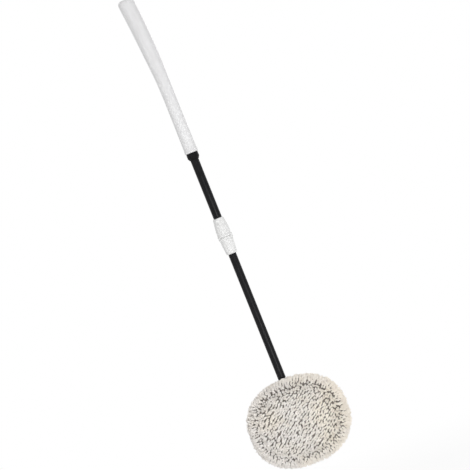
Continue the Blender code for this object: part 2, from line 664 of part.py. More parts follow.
def make_back_plate(material, parent):
    """The oval plate: a rim and a ring rib on its back, radial ribs between them, holes for the screws."""
    rim_top = PLATE_BACK + PLATE_RIB_HEIGHT
    ring_in = PLATE_RING_INSET + PLATE_RING_WIDTH
    profile = ((PLATE_INSET, PLATE_FRONT), (PLATE_INSET, PLATE_BACK), (PLATE_RING_INSET, PLATE_BACK),
               (PLATE_RING_INSET, rim_top), (ring_in, rim_top), (ring_in, PLATE_BACK))
    plate = piece("back_plate", oval_disc(profile), material, parent)
    ribs = []
    for k in range(PLATE_RIB_COUNT):
        heading = math.tau * (k + 0.5) / PLATE_RIB_COUNT
        x, z = oval_point(heading, PLATE_RING_INSET)
        outer = Vector((x, 0, z))
        start = outer.normalized() * PLATE_RIB_START
        side = outer.normalized().cross(Vector((0, 1, 0))) * PLATE_RIB_THICK / 2
        far = outer * (1 - PLATE_RING_WIDTH / outer.length / 2)
        rib = bmesh.new()
        corners = (start - side, start + side, far + side, far - side)
        low = [rib.verts.new(c + Vector((0, PLATE_BACK - PLATE_THICK / 2, 0))) for c in corners]
        high = [rib.verts.new(c + Vector((0, rim_top, 0))) for c in corners]
        for vert in high[:2]:
            vert.co.y = PLATE_BACK + PLATE_RIB_HEIGHT * PLATE_RIB_LOW_SHARE
        skinned(rib, [low, high], closed=False)
        bmesh.ops.recalc_face_normals(rib, faces=rib.faces)
        ribs.append(rib)
    boolean(plate, piece("plate_ribs", merged(ribs), None, parent, cutter=True), "UNION")
    holes = []
    for x, z in screw_places():
        hole = along_y(rod(SCREW_R + SEAT_GAP, -CUT_OVER, PLATE_THICK + CUT_OVER, SCREW_HOLE_SIDES))
        holes.append(moved(hole, (x, PLATE_BACK, z)))
    boolean(plate, piece("plate_holes", merged(holes), None, parent, cutter=True))


def roll_point(angle, sunk=0.0):
    """(inset, depth) on the side band's round, zero at its widest and growing towards the face."""
    inset = ROLL_WIDTH - (ROLL_WIDTH - sunk) * math.cos(angle)
    return inset, ROLL_CENTRE - (ROLL_DEPTH - sunk) * math.sin(angle)


def roll_angles(steps):
    return [BACK_ANGLE + (SEAM_ANGLE - BACK_ANGLE) * k / steps for k in range(steps + 1)]


def crown(share):
    """Depth of the face panel's outer side, at a share of the way from its centre to its seam."""
    return FACE_EDGE - FACE_CROWN * (1 - share * share)


def face_section(share):
    """(inset, depth) of the face panel's outer side, at a share of the way from its centre to its seam."""
    return HEAD_HALF_HEIGHT - (HEAD_HALF_HEIGHT - FACE_INSET) * share, crown(share)


def make_foam_pad(material, parent):
    """The foam between the plate and the cover: flat on the plate, crowned in front, round at the side."""
    sunk = CLOTH_THICK + SEAT_GAP
    base = sunk + SEAT_GAP
    start = math.asin((ROLL_CENTRE - PLATE_FRONT + SEAT_GAP) / (ROLL_DEPTH - base))
    profile = [(PLATE_INSET, PLATE_FRONT - SEAT_GAP), roll_point(start, base)]
    profile += [roll_point(angle, sunk) for angle in roll_angles(ROLL_STEPS) if angle > start]
    for inset, depth in [face_section(share) for share in FACE_SECTION_SHARES]:
        profile.append((inset, depth + sunk))
    piece("foam_pad", oval_disc(profile), material, parent)


def face_point(share, turn):
    """A point of the face panel's outer side, at a share of the way from its centre to its seam."""
    x, z = oval_point(turn, FACE_INSET)
    return Vector((x * share, crown(share), z * share))


def strand(bm, root, outward, heading, length):
    """A three-sided strand that tapers from under the cloth to its blunt tip."""
    side = outward.orthogonal().normalized()
    arms = [Matrix.Rotation(math.tau * k / STRAND_SIDES, 3, outward) @ side for k in range(STRAND_SIDES)]
    start = root - heading * STRAND_SINK
    tip = root + heading * length
    low = [bm.verts.new(start + arm * STRAND_R) for arm in arms]
    high = [bm.verts.new(tip + arm * STRAND_R * STRAND_TIP_SHARE) for arm in arms]
    skinned(bm, [low, high], closed=False)


def make_face_pile(material, parent):
    """The face panel's cloth and its strands, laid out on a golden spiral so that none meet."""
    width = HEAD_HALF_WIDTH - FACE_INSET
    height = HEAD_HALF_HEIGHT - FACE_INSET
    outer = [face_section(share) for share in FACE_SECTION_SHARES]
    inner = [(inset, depth + CLOTH_THICK) for inset, depth in reversed(outer)]
    face = piece("face_pile", oval_disc(inner + outer), material, parent)
    strands = bmesh.new()
    lean = Vector((math.cos(FACE_LEAN_HEADING), 0, math.sin(FACE_LEAN_HEADING)))
    inner_share = 1 - STRAND_EDGE_GAP / height
    for k in range(FACE_STRANDS):
        spread = math.sqrt((k + 0.5) / FACE_STRANDS) * inner_share
        root = face_point(spread, k * GOLDEN_TURN)
        slope = FACE_CROWN / width / height
        outward = Vector((root.x * slope, -1, root.z * slope)).normalized()
        tilt = FACE_LEAN * (1 - spread ** FACE_LEAN_FADE_POWER)
        heading = (outward * math.cos(tilt) + lean * math.sin(tilt)).normalized()
        strand(strands, root, outward, heading, STRAND_LENGTH)
    boolean(face, piece("face_strands", strands, None, parent, cutter=True), "UNION")


def make_side_pile(material, parent):
    """The side band's cloth, round from the seam to the plate's edge, and its rows of strands."""
    outer = [roll_point(a) for a in roll_angles(ROLL_STEPS)]
    inner = [roll_point(a, CLOTH_THICK) for a in reversed(roll_angles(ROLL_STEPS))]
    band = piece("side_pile", oval_ring(outer + inner), material, parent)
    strands = bmesh.new()
    for row in range(BAND_ROWS):
        angle = BAND_FIRST_ANGLE + (BAND_LAST_ANGLE - BAND_FIRST_ANGLE) * row / (BAND_ROWS - 1)
        inset, depth = roll_point(angle)
        for k in range(BAND_STRANDS_IN_ROW):
            turn = math.tau * (k + 0.5 * (row % 2)) / BAND_STRANDS_IN_ROW
            x, z = oval_point(turn, inset)
            root = Vector((x, depth, z))
            away = oval_away(turn, inset)
            outward = (away * math.cos(angle) + Vector((0, -1, 0)) * math.sin(angle)).normalized()
            heading = (outward + away * BAND_COMB_SHARE).normalized()
            strand(strands, root, outward, heading, STRAND_LENGTH)
    boolean(band, piece("band_strands", strands, None, parent, cutter=True), "UNION")


def make_cover_skirt(material, parent):
    """The cover's cloth behind the plate, turned over at its inner edge to hold the elastic."""
    lie = PLATE_BACK + SEAT_GAP
    rim = PLATE_INSET - CLOTH_THICK - SEAT_GAP
    hem_centre = (SKIRT_INSET, lie + HEM_R)
    inner_r = HEM_R - SKIRT_THICK
    start = -math.pi / 2
    outer = arc(hem_centre, HEM_R, start, HEM_END_ANGLE, HEM_STEPS)
    inner = arc(hem_centre, inner_r, HEM_END_ANGLE, start, HEM_STEPS)
    edge = PLATE_BACK - SEAT_GAP
    profile = [(rim, edge), (rim + SKIRT_THICK, edge), (rim + SKIRT_THICK, lie),
               *outer, *inner, (rim, lie + SKIRT_THICK)]
    piece("cover_skirt", oval_ring(profile), material, parent)


def make_hem_elastic(material, parent):
    """The elastic cord inside the hem."""
    centre = (SKIRT_INSET, PLATE_BACK + SEAT_GAP + HEM_R)
    profile = arc(centre, ELASTIC_R, 0, math.tau, ELASTIC_SIDES)[:-1]
    piece("hem_elastic", oval_ring(profile), material, parent)


def build():
    clear_scene()
    soft_white = finish("soft_white", (0.80, 0.80, 0.80), 0.6)
    hard_white = finish("hard_white", (0.82, 0.82, 0.81), 0.35)
    black_plastic = finish("black_plastic", (0.012, 0.012, 0.013), 0.45)
    black_coat = finish("black_coat", (0.010, 0.010, 0.011), 0.35, 0.2)
    grey_plastic = finish("grey_plastic", (0.25, 0.25, 0.26), 0.5)
    zinc = finish("zinc", (0.6, 0.6, 0.62), 0.35, 1.0)
    foam = finish("foam", (0.55, 0.53, 0.48), 0.95)
    pile = finish("cotton_pile", (0.66, 0.62, 0.55), 0.95)
    cloth = finish("cloth", (0.62, 0.59, 0.54), 0.9)
    elastic = finish("elastic", (0.75, 0.74, 0.72), 0.7)

    handle = frame_at("handle_frame", (0, 0, 0))
    turn = frame_at("lock_turn_axis", (0, 0, -LOCK_SEAM), handle)
    slide = frame_at("pole_slide_axis", (0, 0, -LOCK_SEAM), handle)
    tilt = frame_at("head_tilt_axis", (0, 0, LOCK_SEAM - PIVOT_DROP), slide)

    make_grip(soft_white, handle)
    make_grip_ring(black_plastic, handle)
    make_upper_tube(black_coat, grey_plastic, handle)
    make_lock_body(hard_white, handle)
    make_lock_collet(grey_plastic, handle)
    make_lock_nut(hard_white, turn)
    make_lower_tube(black_coat, grey_plastic, slide)
    make_head_socket(black_plastic, slide)
    make_socket_rivet(zinc, slide)
    make_bracket(black_plastic, tilt)
    make_pivot_fasteners(zinc, tilt)
    make_bracket_screws(zinc, tilt)
    make_back_plate(black_plastic, tilt)
    make_foam_pad(foam, tilt)
    make_face_pile(pile, tilt)
    make_side_pile(pile, tilt)
    make_cover_skirt(cloth, tilt)
    make_hem_elastic(elastic, tilt)


build()
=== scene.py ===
"""Looks of a telescopic car wash brush with an oval cotton head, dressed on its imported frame."""

import math
import random

import bmesh
import bpy
from mathutils import Matrix, Vector, noise


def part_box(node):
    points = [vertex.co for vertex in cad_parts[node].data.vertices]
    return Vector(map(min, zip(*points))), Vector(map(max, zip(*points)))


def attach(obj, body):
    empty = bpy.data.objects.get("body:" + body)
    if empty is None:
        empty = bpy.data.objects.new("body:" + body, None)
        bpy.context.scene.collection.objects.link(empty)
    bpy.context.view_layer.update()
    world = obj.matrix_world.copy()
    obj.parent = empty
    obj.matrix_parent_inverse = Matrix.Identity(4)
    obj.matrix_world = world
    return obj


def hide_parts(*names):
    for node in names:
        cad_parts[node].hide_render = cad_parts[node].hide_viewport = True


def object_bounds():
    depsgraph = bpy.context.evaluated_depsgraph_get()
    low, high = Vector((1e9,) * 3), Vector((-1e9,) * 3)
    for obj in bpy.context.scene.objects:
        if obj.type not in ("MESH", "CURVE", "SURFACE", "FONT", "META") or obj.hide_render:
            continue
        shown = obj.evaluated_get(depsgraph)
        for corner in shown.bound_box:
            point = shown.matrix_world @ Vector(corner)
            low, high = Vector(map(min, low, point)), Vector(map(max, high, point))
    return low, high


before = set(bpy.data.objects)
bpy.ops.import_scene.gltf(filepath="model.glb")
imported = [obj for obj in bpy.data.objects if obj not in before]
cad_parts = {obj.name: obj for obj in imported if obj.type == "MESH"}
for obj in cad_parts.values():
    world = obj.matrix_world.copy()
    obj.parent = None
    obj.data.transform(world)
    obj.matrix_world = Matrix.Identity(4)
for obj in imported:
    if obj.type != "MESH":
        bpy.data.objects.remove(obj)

cad_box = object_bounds()
chance = random.Random(7)

# Merging, facets and rounding
MERGE_WITHIN = 0.000002
ROUND_SIDES = 96
OVAL_STEPS = 176
FACE_RINGS = 24
ROLL_RINGS = 20
SHARP_ANGLE = math.radians(32)
FLAT_ANGLE = math.radians(1)
EDGE_ROUND = 0.0003

# Camera: the photograph's scale, its tilt and the place of the grip's end in it
PHOTO_WIDTH_PX = 470
PIXEL_SIZE = 0.0022
POLE_TILT = math.radians(21.83)
GRIP_END_PX = (129.7, -2.0)
CAMERA_DISTANCE = 5.0
SENSOR_WIDTH = 36.0

# Floor and room: the floor turns from nearly white to white between near and far
FLOOR_HALF_SIDE = 14
FLOOR_DROP = 0.16
FLOOR_WHITE_SHARE = 0.82
FLOOR_NEAR = 0.6
FLOOR_FAR = 1.4
ROOM_LEVEL = 0.53

# Grip: the step between its rings, where its outside begins beside its bore, and its unevenness
GRIP_RING_STEP = 0.006
GRIP_OUTSIDE = 1.1
GRIP_WAVE_SCALE = 45
GRIP_WAVE_DEPTH = 0.00012

# Twist lock's flutes: their form, their distance from each half's ends, and their least radius
# beside the tube's
FLUTES = 12
FLUTE_SIDES = 12
FLUTE_HEADING = math.radians(10)
FLUTE_DEPTH = 0.0005
FLUTE_POWER = 1.4
FLUTE_FADE = 0.003
FLUTE_STEP = 0.0015
UPPER_FLUTE_FOOT = 0.0062
UPPER_FLUTE_TOP = 0.006
UPPER_FLUTE_OUTSIDE = 1.12
NUT_FLUTE_FOOT = 0.003
NUT_FLUTE_TOP = 0.0055
NUT_FLUTE_OUTSIDE = 1.28

# Fasteners: shares are of the head's radius, and the bolt's dome is a share of its head's height;
# the rings of the domes lie closer where the walls of the recesses are
FASTENER_SIDES = 72
FASTENER_ROUND = 0.0002
DOME_SHARES = (0.01, 0.07, 0.14, 0.2, 0.27, 0.34, 0.37, 0.39, 0.45,
               0.5, 0.55, 0.57, 0.7, 0.8, 0.88, 0.94, 0.98, 1.0)
DOME_POWER = 3
SCREW_HEAD = 0.0022
SCREW_SHANK_SHARE = 1 / 2
SCREW_TIP_SHARE = 1 / 6
CROSS_DEPTH = 0.0016
CROSS_REACH = 0.56
CROSS_HALF_WIDTH = 0.13
BOLT_DOME_SHARE = 0.6
BOLT_SHANK_SHARE = 0.56
BOLT_TIP_SHARE = 1 / 7
SOCKET_DEPTH = 0.0014
SOCKET_REACH = 0.38

# Cover: cloth over a roll round the head's edge, as the solids have it
CLOTH_THICK = 0.002
SEAT_GAP = 0.0003
PLATE_THICK = 0.0035
ROLL_WIDTH = 0.0115
ROLL_DEPTH = 0.0113
ROLL_SETBACK = 0.0075
OVAL_POWER = 2.33
SEAM_ANGLE = math.radians(124)
BACK_ANGLE = math.radians(-40)
FACE_CROWN = 0.0035
FOAM_BACK_REACH = 0.2

# Skirt: its cloth, its hem round the elastic and its folds, which drift along it
SKIRT_WALL = 0.0012
SKIRT_RINGS = 8
HEM_ARC = math.radians(288)
HEM_STEPS = 14
ELASTIC_SIDES = 10
SKIRT_FOLD = 0.0016
SKIRT_FOLDS = 46
FOLD_DRIFT = 5
FOLD_DRIFT_SCALE = 4
FOLD_SEED = 1

# Plies of a tuft: their form is a list of shares along them and of their radius
PLY_R = 0.00103
PLY_COUNT = 4
PLY_APART_SHARE = 1.28
PLY_SIDES = 5
PLY_TURN = math.radians(150)
PLY_FORM = ((0, 0.8), (0.4, 1.04), (0.82, 0.98), (1.0, 0.42))
PLY_REACH = (0.93, 1.05)
PLY_SPLAY = (0.1, 0.5)

# Kinds of tufts: each is longer, more turned and otherwise bent than the one before
TUFT_KINDS = 10
TUFT_LENGTH = 0.0114
TUFT_SHORTEST = 0.9
TUFT_LENGTH_STEP = 0.02
TUFT_TURN_STEP = 0.13
TUFT_BENDS = 4
TUFT_BEND_STEP = 0.05
TUFT_SIZE = (0.93, 1.07)
TUFT_SINK = 0.0012
TUFT_SPACING_UV = 3

# Tufts on the face: they lean one way, swirl a little, and turn outwards from the edge's start
FACE_TUFT_ACROSS = 0.0051
FACE_TUFT_ALONG = 0.0058
FACE_JITTER = 0.0008
FACE_HEADING = math.radians(-143)
FACE_LEAN = math.radians(44)
FACE_LEAN_SPREAD = 0.16
FACE_BEND_ON = 0.02
SWIRL = 0.4
SWIRL_SPREAD = 0.2
SWIRL_SCALE = 28
SWIRL_SEED = 3
EDGE_START = 0.7
EDGE_LESS_LEAN = 0.4
EDGE_OUTWARDS = 0.3

# Tufts on the face's seam
SEAM_CLEAR = 0.0012
SEAM_TUFT_ACROSS = 0.0045
SEAM_SPACING_SPREAD = 0.2
SEAM_SIDE_SPREAD = 0.5
SEAM_LEAN = 0.4
SEAM_FAN = (-0.8, 0.9)

# Tufts on the band: they are combed outwards round the peak, more to one side
BAND_TUFT_ACROSS = 0.0056
BAND_ROWS = 11
BAND_START = math.radians(-30)
BAND_ARC = math.radians(146)
BAND_SPACING_SPREAD = 0.16
BAND_ANGLE_SPREAD = 0.05
BAND_SIDE_SPREAD = 0.24
BAND_BEND_BACK = 0.4
COMB = 0.7
COMB_SPREAD = 0.25
COMB_PEAK = math.radians(62)
COMB_FALL_FRONT = 1.6
COMB_FALL_BACK = 1.1
COMB_ONE_WAY = 0.8
COMB_LESS_OUT = 0.3


class Value:
    """A shader socket that arithmetic can be written on."""

    def __init__(self, finish, socket):
        self.finish = finish
        self.socket = socket

    def result(self, operation, first, second):
        return self.finish.node("ShaderNodeMath", {"operation": operation}, {0: first, 1: second})

    def __add__(self, other):
        return self.result("ADD", self, other)

    def __radd__(self, other):
        return self.result("ADD", other, self)

    def __sub__(self, other):
        return self.result("SUBTRACT", self, other)

    def __mul__(self, other):
        return self.result("MULTIPLY", self, other)

    def beside(self, output):
        """Another output of the node that this socket is on."""
        return Value(self.finish, self.socket.node.outputs[output])


class Finish:
    """A Principled material whose nodes are added by one method."""

    def __init__(self, name, roughness, metallic=0.0):
        self.material = bpy.data.materials.new(name)
        self.material.use_nodes = True
        self.tree = self.material.node_tree
        self.shader = self.tree.nodes["Principled BSDF"]
        self.shader.inputs["Roughness"].default_value = roughness
        self.shader.inputs["Metallic"].default_value = metallic

    def feed(self, socket, value):
        """Links a value to a socket, or sets a constant on it."""
        if isinstance(value, Value):
            self.tree.links.new(value.socket, socket)
        else:
            socket.default_value = value

    def node(self, kind, settings=None, sockets=None, output=0):
        """Adds a node with its settings and what feeds its sockets, and gives one output."""
        made = self.tree.nodes.new(kind)
        for key, value in (settings or {}).items():
            setattr(made, key, value)
        for key, value in (sockets or {}).items():
            self.feed(made.inputs[key], value)
        return Value(self, made.outputs[output])

    def set(self, name, value):
        self.feed(self.shader.inputs[name], value)

    def place(self, stretch=(1, 1, 1), source="Object"):
        """The place on the piece, in metres, or on its UV map."""
        coords = self.node("ShaderNodeTexCoord", output=source)
        return self.node("ShaderNodeMapping", {}, {"Vector": coords, "Scale": stretch})

    def grain(self, scale, detail, stretch=(1, 1, 1)):
        """Noise with about scale waves in a metre."""
        sockets = {"Vector": self.place(stretch), "Scale": scale, "Detail": detail}
        return self.node("ShaderNodeTexNoise", {}, sockets)

    def ramp(self, value, low, high):
        """The value spread between 0 at low and 1 at high."""
        sockets = {"Value": value, "From Min": low, "From Max": high}
        return self.node("ShaderNodeMapRange", {}, sockets)

    def clouds(self, scale, detail, low, high, stretch=(1, 1, 1)):
        """A grain spread between 0 at low and 1 at high."""
        return self.ramp(self.grain(scale, detail, stretch), low, high)

    def ridges(self, direction, scale, distortion):
        """Bands across a direction, a little wavy."""
        settings = {"wave_type": "BANDS", "bands_direction": direction}
        sockets = {"Vector": self.place(), "Scale": scale, "Distortion": distortion}
        return self.node("ShaderNodeTexWave", settings, sockets, "Fac")

    def over(self, mask, first, second):
        """A mix of two colours, either of which may be a socket."""
        sockets = {0: mask, 6: first, 7: second}
        return self.node("ShaderNodeMix", {"data_type": "RGBA"}, sockets, output=2)

    def tint(self, mask, first, second):
        """A mix of two plain colours."""
        return self.over(mask, (*first, 1), (*second, 1))

    def bump(self, height, depth, strength):
        sockets = {"Height": height, "Distance": depth, "Strength": strength}
        self.set("Normal", self.node("ShaderNodeBump", {}, sockets))


def soft_white_grip():
    """Soft white moulding: a fine pebble, faint long streaks and broad pale patches."""
    made = Finish("soft_white_grip", roughness=0.6)
    made.set("Specular IOR Level", 0.25)
    streaks = made.clouds(scale=90, detail=2.0, low=0.35, high=0.7, stretch=(1, 1, 0.16))
    patches = made.clouds(scale=26, detail=2.0, low=0.35, high=0.68)
    pebble = made.grain(scale=1600, detail=2.0)
    mask = streaks * 0.5 + patches * 0.5
    made.set("Base Color", made.tint(mask, (0.79, 0.785, 0.79), (0.85, 0.85, 0.855)))
    made.set("Roughness", 0.52 + patches * 0.14)
    made.bump(pebble + streaks * 0.6, depth=0.00006, strength=0.2)
    return made


def hard_white_lock():
    """Satin white moulding with a faint flow grain and a little grey where hands rub it."""
    made = Finish("hard_white_lock", roughness=0.34)
    made.set("Specular IOR Level", 0.35)
    wear = made.clouds(scale=60, detail=2.0, low=0.45, high=0.75)
    made.set("Base Color", made.tint(wear, (0.785, 0.785, 0.78), (0.76, 0.76, 0.755)))
    made.set("Roughness", 0.34 + wear * 0.16)
    made.bump(made.grain(scale=2400, detail=2.0), depth=0.00003, strength=0.25)
    return made


def black_moulding():
    """Black plastic with a spark-eroded grain."""
    made = Finish("black_moulding", roughness=0.5)
    made.set("Specular IOR Level", 0.12)
    rub = made.clouds(scale=70, detail=4.0, low=0.45, high=0.72)
    made.set("Base Color", made.tint(rub, (0.004, 0.004, 0.0045), (0.008, 0.008, 0.0085)))
    made.set("Roughness", 0.40 + rub * 0.18)
    made.bump(made.grain(scale=2600, detail=3.0), depth=0.00008, strength=0.6)
    return made


def black_tube_coat():
    """Satin powder coat: orange peel, and fine scratches along the tube where it slides."""
    made = Finish("black_tube_coat", roughness=0.3)
    made.set("Specular IOR Level", 0.12)
    scratches = made.clouds(scale=900, detail=2.0, low=0.62, high=0.72, stretch=(1, 1, 0.02))
    cloud = made.clouds(scale=45, detail=3.0, low=0.35, high=0.7)
    tone = made.tint(cloud, (0.0055, 0.0055, 0.0065), (0.009, 0.009, 0.0104))
    made.set("Base Color", made.over(scratches * 0.5, tone, (0.03, 0.03, 0.032, 1)))
    made.set("Roughness", 0.25 + cloud * 0.08 + scratches * 0.12)
    made.bump(made.grain(scale=1500, detail=2.0), depth=0.00004, strength=0.5)
    return made


def grey_moulding():
    """Plain grey plastic of the hidden pieces, with a flow grain."""
    made = Finish("grey_moulding", roughness=0.5)
    flow = made.clouds(scale=120, detail=3.0, low=0.4, high=0.7)
    made.set("Base Color", made.tint(flow, (0.22, 0.22, 0.23), (0.30, 0.30, 0.31)))
    made.set("Roughness", 0.45 + flow * 0.12)
    made.bump(made.grain(scale=2200, detail=2.0), depth=0.00006, strength=0.4)
    return made


def zinc_plate():
    """Zinc-plated steel: brushed, with duller patches."""
    made = Finish("zinc_plate", roughness=0.3, metallic=1.0)
    dull = made.clouds(scale=260, detail=4.0, low=0.4, high=0.7)
    brushed = made.grain(scale=3000, detail=2.0, stretch=(0.1, 1, 1))
    made.set("Base Color", made.tint(dull, (0.66, 0.66, 0.67), (0.48, 0.48, 0.50)))
    made.set("Roughness", 0.24 + dull * 0.22)
    made.bump(brushed, depth=0.00003, strength=0.4)
    return made


def open_foam():
    """Open-celled foam, with painted shade inside its cells."""
    made = Finish("open_foam", roughness=0.95)
    cells = made.node("ShaderNodeTexVoronoi", {}, {"Vector": made.place(), "Scale": 700})
    # Painted shade: the colour darkens towards each cell's middle, inside the pores.
    made.set("Base Color", made.tint(cells, (0.34, 0.31, 0.25), (0.62, 0.59, 0.52)))
    made.bump(cells, depth=0.0006, strength=0.8)
    return made


def woven_cloth(name, dark, pale):
    """Plain weave: warp and weft ridges across the head, with slubs in the yarn."""
    made = Finish(name, roughness=0.9)
    warp, weft = [made.ridges(way, scale=160, distortion=0.6) for way in ("X", "Z")]
    weave = warp * weft
    slub = made.clouds(scale=120, detail=4.0, low=0.3, high=0.7)
    made.set("Base Color", made.tint(weave * 0.6 + slub * 0.4, dark, pale))
    made.set("Roughness", 0.84 + slub * 0.12)
    made.bump(weave + slub * 0.3, depth=0.0004, strength=0.7)
    return made


def cotton_yarn():
    """Cut cotton: twisted plies and a tone of its own for each tuft, with painted shade at the
    roots and in the twists, and a painted cool cast towards -X.
    """
    made = Finish("cotton_yarn", roughness=0.94)
    made.set("Specular IOR Level", 0.2)
    made.set("Sheen Weight", 0.25)
    around = made.node("ShaderNodeSeparateXYZ", {}, {0: made.place(source="UV")})
    along = around.beside(1)
    twist = (around * 2 + along * 2.5) * math.tau
    ply_height = made.node("ShaderNodeMath", {"operation": "SINE"}, {0: twist}) * 0.5 + 0.5
    fuzz = made.grain(scale=1400, detail=3.0)
    spaced = around * (1 / TUFT_SPACING_UV)
    number = made.node("ShaderNodeMath", {"operation": "ROUND"}, {0: spaced})
    each = made.node("ShaderNodeTexWhiteNoise", {"noise_dimensions": "1D"}, {"W": number})
    side = made.node("ShaderNodeSeparateXYZ", {}, {0: made.place()})
    # Painted light: a cooler, greyer cast painted over the pile's -X side to stand for the light
    # there, broken up by a broad grain.
    painted_cool_side_cast = made.ramp(made.grain(scale=14, detail=2.0) - side * 1.6, low=0.36, high=0.64)
    pale = made.tint(painted_cool_side_cast, (0.97, 0.925, 0.85), (0.95, 0.92, 0.89))
    shade = made.tint(painted_cool_side_cast, (0.82, 0.755, 0.665), (0.79, 0.75, 0.70))
    # The pale share mixes each tuft's own tone and a random fuzz with painted shade in the plies'
    # twisted grooves, where ply_height is low.
    light = made.ramp(each * 0.5 + ply_height * 0.3 + fuzz * 0.2, low=0.0, high=0.7)
    # Painted shade: the yarn turns near black towards each tuft's root, where the tufts shade one
    # another.
    painted_root_shade = made.ramp(along, low=0.12, high=0.5)
    body = made.over(light, shade, pale)
    made.set("Base Color", made.over(painted_root_shade, (0.05, 0.04, 0.03, 1), body))
    made.bump(ply_height + fuzz * 0.4, depth=0.0003, strength=0.6)
    return made


def elastic_cover():
    """Braided cover of the hem's elastic."""
    made = Finish("elastic_cover", roughness=0.8)
    braid = made.clouds(scale=900, detail=3.0, low=0.35, high=0.65)
    made.set("Base Color", made.tint(braid, (0.60, 0.59, 0.57), (0.78, 0.77, 0.75)))
    made.bump(braid, depth=0.0002, strength=0.6)
    return made


def floor_finish(name):
    """Pale matt floor that the camera and mirrors see as near white, with its shadows kept."""
    made = Finish(name, roughness=0.9)
    made.set("Base Color", (0.92, 0.92, 0.92, 1))
    path = made.node("ShaderNodeLightPath")
    seen = path + path.beside("Is Glossy Ray") + path.beside("Is Transmission Ray")
    glow = made.node("ShaderNodeEmission", {}, {"Color": (1, 1, 1, 1), "Strength": 1.0})
    body = Value(made, made.shader.outputs[0])
    away = made.node("ShaderNodeVectorMath", {"operation": "LENGTH"}, {0: made.place()}, output=1)
    far = made.ramp(away, FLOOR_NEAR, FLOOR_FAR)
    white = FLOOR_WHITE_SHARE + far * (1 - FLOOR_WHITE_SHARE)
    mixed = made.node("ShaderNodeMixShader", {}, {0: seen * white, 1: body, 2: glow})
    made.feed(made.tree.nodes["Material Output"].inputs["Surface"], mixed)
    return made


def shown(name, bm, finish, body, replaces):
    """A finished piece: mesh, material, the body it rides on and the nodes it stands for."""
    for face in bm.faces:
        face.smooth = True
    for edge in bm.edges:
        if edge.is_manifold and edge.calc_face_angle(0) > SHARP_ANGLE:
            edge.smooth = False
    mesh = bpy.data.meshes.new(name)
    bm.to_mesh(mesh)
    bm.free()
    mesh.materials.append(finish.material)
    piece = bpy.data.objects.new(name, mesh)
    bpy.context.scene.collection.objects.link(piece)
    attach(piece, body)
    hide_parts(*replaces)
    return piece


def merged_copy(node):
    """A node's triangles as one joined mesh."""
    bm = bmesh.new()
    bm.from_mesh(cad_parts[node].data)
    bmesh.ops.remove_doubles(bm, verts=bm.verts, dist=MERGE_WITHIN)
    return bm


def rounded(bm, width, crisp=False):
    """Bevels every edge above the sharp angle; crisp keeps the faces beside them flat."""
    sharp = [e for e in bm.edges if e.is_manifold and e.calc_face_angle(0) > SHARP_ANGLE]
    made = bmesh.ops.bevel(bm, geom=sharp, offset=width, segments=2, profile=0.5,
                           affect="EDGES", material=-1)
    fresh = set(made["faces"])
    if crisp:
        for edge in {edge for face in fresh for edge in face.edges}:
            if any(face not in fresh for face in edge.link_faces):
                edge.smooth = False
    return bm


def turned_outline(node, heading=0.0, step=None, stand=None):
    """The half section of a turned node, stood upright, cut at a heading and laid in XZ."""
    bm = merged_copy(node)
    if stand:
        bmesh.ops.transform(bm, matrix=stand.inverted(), verts=bm.verts)
    flat = Vector((-math.sin(heading), math.cos(heading), 0))
    bmesh.ops.bisect_plane(bm, geom=bm.verts[:] + bm.edges[:] + bm.faces[:], dist=MERGE_WITHIN,
                           plane_co=(0, 0, 0), plane_no=flat, clear_inner=True, clear_outer=True)
    out = Vector((math.cos(heading), math.sin(heading), 0))
    behind = [v for v in bm.verts if v.co.dot(out) < MERGE_WITHIN]
    bmesh.ops.delete(bm, geom=behind, context="VERTS")
    turn = Matrix.Rotation(-heading, 3, "Z")
    bmesh.ops.rotate(bm, verts=bm.verts, cent=(0, 0, 0), matrix=turn)
    if step:
        for edge in [e for e in bm.edges if e.calc_length() > step]:
            cuts = int(edge.calc_length() / step)
            bmesh.ops.subdivide_edges(bm, edges=[edge], cuts=cuts)
    return bm


def spun(bm, steps=ROUND_SIDES):
    """Turns a half section about Z."""
    bmesh.ops.spin(bm, geom=bm.verts[:] + bm.edges[:], cent=(0, 0, 0), axis=(0, 0, 1),
                   angle=math.tau, steps=steps, use_merge=True)
    bmesh.ops.remove_doubles(bm, verts=bm.verts, dist=MERGE_WITHIN)
    bmesh.ops.recalc_face_normals(bm, faces=bm.faces)
    return bm


def fluted(bm, low, high, least_radius):
    """Presses soft grooves into a collar, fading out at both ends."""
    for vert in bm.verts:
        radius = math.hypot(vert.co.x, vert.co.y)
        inside = min(vert.co.z - low, high - vert.co.z)
        if inside <= 0 or radius < least_radius:
            continue
        heading = math.atan2(vert.co.y, vert.co.x)
        groove = (0.5 + 0.5 * math.cos(FLUTES * heading)) ** FLUTE_POWER
        fade = min(1.0, inside / FLUTE_FADE)
        squeeze = 1 - FLUTE_DEPTH * groove * fade * fade * (3 - 2 * fade) / radius
        vert.co.x *= squeeze
        vert.co.y *= squeeze
    return bm


def lofted(rings, sides):
    """Round rings, each a height, a centre's X and a radius, joined and closed at both ends."""
    bm = bmesh.new()
    height, centre, radius = rings[0]
    where = Matrix.Translation((centre, 0, height))
    bmesh.ops.create_circle(bm, cap_ends=True, segments=sides, radius=radius, matrix=where)
    rim = bm.edges[:]
    for next_height, next_centre, next_radius in rings[1:]:
        grown = bmesh.ops.extrude_edge_only(bm, edges=rim)["geom"]
        verts = [g for g in grown if isinstance(g, bmesh.types.BMVert)]
        fresh = set(verts)
        rim = [g for g in grown if isinstance(g, bmesh.types.BMEdge) and set(g.verts) <= fresh]
        change = (Matrix.Translation((next_centre, 0, next_height))
                  @ Matrix.Scale(next_radius / radius, 4)
                  @ Matrix.Translation((-centre, 0, -height)))
        bmesh.ops.transform(bm, matrix=change, verts=verts)
        height, centre, radius = next_height, next_centre, next_radius
    bmesh.ops.contextual_create(bm, geom=rim)
    bmesh.ops.recalc_face_normals(bm, faces=bm.faces)
    return bm


